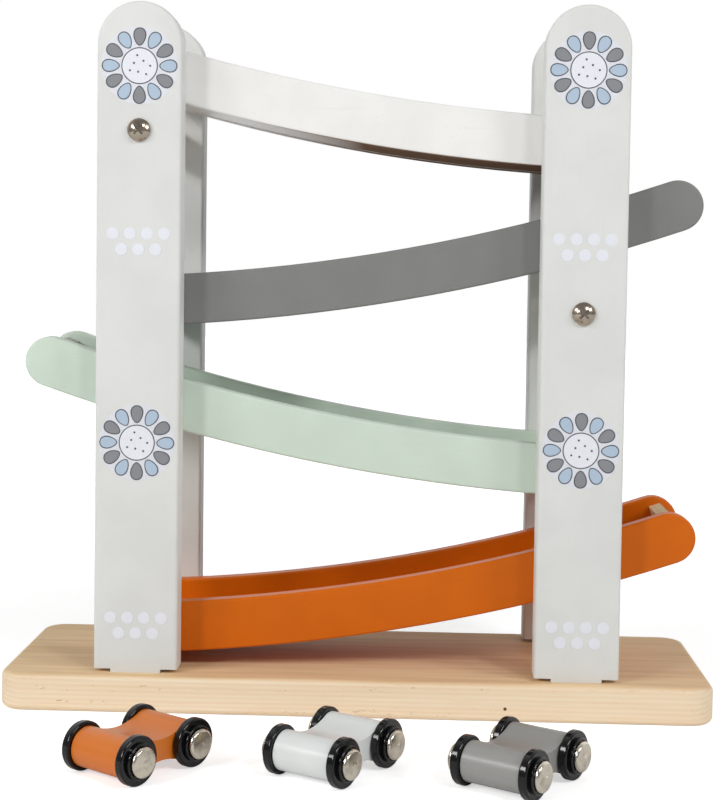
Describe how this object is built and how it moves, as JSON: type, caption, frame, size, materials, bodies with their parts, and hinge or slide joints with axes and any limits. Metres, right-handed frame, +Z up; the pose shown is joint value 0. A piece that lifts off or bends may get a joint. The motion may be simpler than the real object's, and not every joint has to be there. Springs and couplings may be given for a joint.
{
  "type": "click clack track toy",
  "caption": "Wooden track of stacked curved ramps between post pairs on a plank, with small free rolling cars that zigzag down from ramp to ramp.",
  "frame": {"origin": "centre of the base plank's underside", "axes": "+Z up, +X right along the plank, -Y towards the viewer and the cars"},
  "size_m": [0.285, 0.1885, 0.282],
  "materials": {
    "natural_wood": "bare sanded pine under a clear satin lacquer",
    "post_paint": "light warm grey satin paint on wood",
    "orange_paint": "burnt orange satin paint on wood",
    "green_paint": "mint green satin paint on wood",
    "grey_paint": "mid grey satin paint on wood",
    "white_paint": "white satin paint on wood",
    "black_plastic": "glossy black moulded plastic",
    "nickel": "bright nickel plate",
    "steel": "plain steel wire"
  },
  "bodies": {
    "track": {"base": "natural_wood", "front_left_post": "post_paint", "front_right_post": "post_paint", "back_left_post": "post_paint", "back_right_post": "post_paint", "left_brace": "natural_wood", "right_brace": "natural_wood", "front_screws": "nickel", "back_screws": "nickel", "orange_front_rail": "orange_paint", "orange_back_rail": "orange_paint", "orange_floor": "orange_paint", "orange_end_stop": "natural_wood", "green_front_rail": "green_paint", "green_back_rail": "green_paint", "green_floor": "green_paint", "green_end_stop": "natural_wood", "grey_front_rail": "grey_paint", "grey_back_rail": "grey_paint", "grey_floor": "grey_paint", "grey_end_stop": "natural_wood", "white_front_rail": "white_paint", "white_back_rail": "white_paint", "white_floor": "white_paint", "white_end_stop": "natural_wood"},
    "orange_car": {"orange_car_body": "orange_paint", "orange_car_front_axle": "steel", "orange_car_rear_axle": "steel", "orange_car_caps": "nickel"},
    "orange_car_front_left_wheel": {"orange_car_front_left_wheel": "black_plastic"},
    "orange_car_front_right_wheel": {"orange_car_front_right_wheel": "black_plastic"},
    "orange_car_rear_left_wheel": {"orange_car_rear_left_wheel": "black_plastic"},
    "orange_car_rear_right_wheel": {"orange_car_rear_right_wheel": "black_plastic"},
    "white_car": {"white_car_body": "white_paint", "white_car_front_axle": "steel", "white_car_rear_axle": "steel", "white_car_caps": "nickel"},
    "white_car_front_left_wheel": {"white_car_front_left_wheel": "black_plastic"},
    "white_car_front_right_wheel": {"white_car_front_right_wheel": "black_plastic"},
    "white_car_rear_left_wheel": {"white_car_rear_left_wheel": "black_plastic"},
    "white_car_rear_right_wheel": {"white_car_rear_right_wheel": "black_plastic"},
    "grey_car": {"grey_car_body": "grey_paint", "grey_car_front_axle": "steel", "grey_car_rear_axle": "steel", "grey_car_caps": "nickel"},
    "grey_car_front_left_wheel": {"grey_car_front_left_wheel": "black_plastic"},
    "grey_car_front_right_wheel": {"grey_car_front_right_wheel": "black_plastic"},
    "grey_car_rear_left_wheel": {"grey_car_rear_left_wheel": "black_plastic"},
    "grey_car_rear_right_wheel": {"grey_car_rear_right_wheel": "black_plastic"}
  },
  "joints": [
    {"name": "orange_car_roll", "type": "slide", "parent": "track", "child": "orange_car", "axis": [-0.5878, -0.809, 0], "range_m": [-0.03, 0.06]},
    {"name": "orange_front_left_wheel_spin", "type": "hinge", "parent": "orange_car", "child": "orange_car_front_left_wheel", "pos_m": [-0.07072, -0.13151, 0.00875], "axis": [0.809, -0.5878, 0], "continuous": true},
    {"name": "orange_front_right_wheel_spin", "type": "hinge", "parent": "orange_car", "child": "orange_car_front_right_wheel", "pos_m": [-0.09354, -0.11494, 0.00875], "axis": [0.809, -0.5878, 0], "continuous": true},
    {"name": "orange_rear_left_wheel_spin", "type": "hinge", "parent": "orange_car", "child": "orange_car_rear_left_wheel", "pos_m": [-0.05426, -0.10886, 0.00875], "axis": [0.809, -0.5878, 0], "continuous": true},
    {"name": "orange_rear_right_wheel_spin", "type": "hinge", "parent": "orange_car", "child": "orange_car_rear_right_wheel", "pos_m": [-0.07708, -0.09229, 0.00875], "axis": [0.809, -0.5878, 0], "continuous": true},
    {"name": "white_car_roll", "type": "slide", "parent": "track", "child": "white_car", "axis": [-0.5225, -0.8526, 0], "range_m": [-0.03, 0.06]},
    {"name": "white_front_left_wheel_spin", "type": "hinge", "parent": "white_car", "child": "white_car_front_left_wheel", "pos_m": [0.00031, -0.1281, 0.00875], "axis": [0.8526, -0.5225, 0], "continuous": true},
    {"name": "white_front_right_wheel_spin", "type": "hinge", "parent": "white_car", "child": "white_car_front_right_wheel", "pos_m": [-0.02374, -0.11337, 0.00875], "axis": [0.8526, -0.5225, 0], "continuous": true},
    {"name": "white_rear_left_wheel_spin", "type": "hinge", "parent": "white_car", "child": "white_car_rear_left_wheel", "pos_m": [0.01494, -0.10423, 0.00875], "axis": [0.8526, -0.5225, 0], "continuous": true},
    {"name": "white_rear_right_wheel_spin", "type": "hinge", "parent": "white_car", "child": "white_car_rear_right_wheel", "pos_m": [-0.00911, -0.0895, 0.00875], "axis": [0.8526, -0.5225, 0], "continuous": true},
    {"name": "grey_car_roll", "type": "slide", "parent": "track", "child": "grey_car", "axis": [-0.5519, -0.8339, 0], "range_m": [-0.03, 0.06]},
    {"name": "grey_front_left_wheel_spin", "type": "hinge", "parent": "grey_car", "child": "grey_car_front_left_wheel", "pos_m": [0.06503, -0.13596, 0.00875], "axis": [0.8339, -0.5519, 0], "continuous": true},
    {"name": "grey_front_right_wheel_spin", "type": "hinge", "parent": "grey_car", "child": "grey_car_front_right_wheel", "pos_m": [0.04152, -0.12039, 0.00875], "axis": [0.8339, -0.5519, 0], "continuous": true},
    {"name": "grey_rear_left_wheel_spin", "type": "hinge", "parent": "grey_car", "child": "grey_car_rear_left_wheel", "pos_m": [0.08049, -0.11261, 0.00875], "axis": [0.8339, -0.5519, 0], "continuous": true},
    {"name": "grey_rear_right_wheel_spin", "type": "hinge", "parent": "grey_car", "child": "grey_car_rear_right_wheel", "pos_m": [0.05697, -0.09704, 0.00875], "axis": [0.8339, -0.5519, 0], "continuous": true}
  ]
}
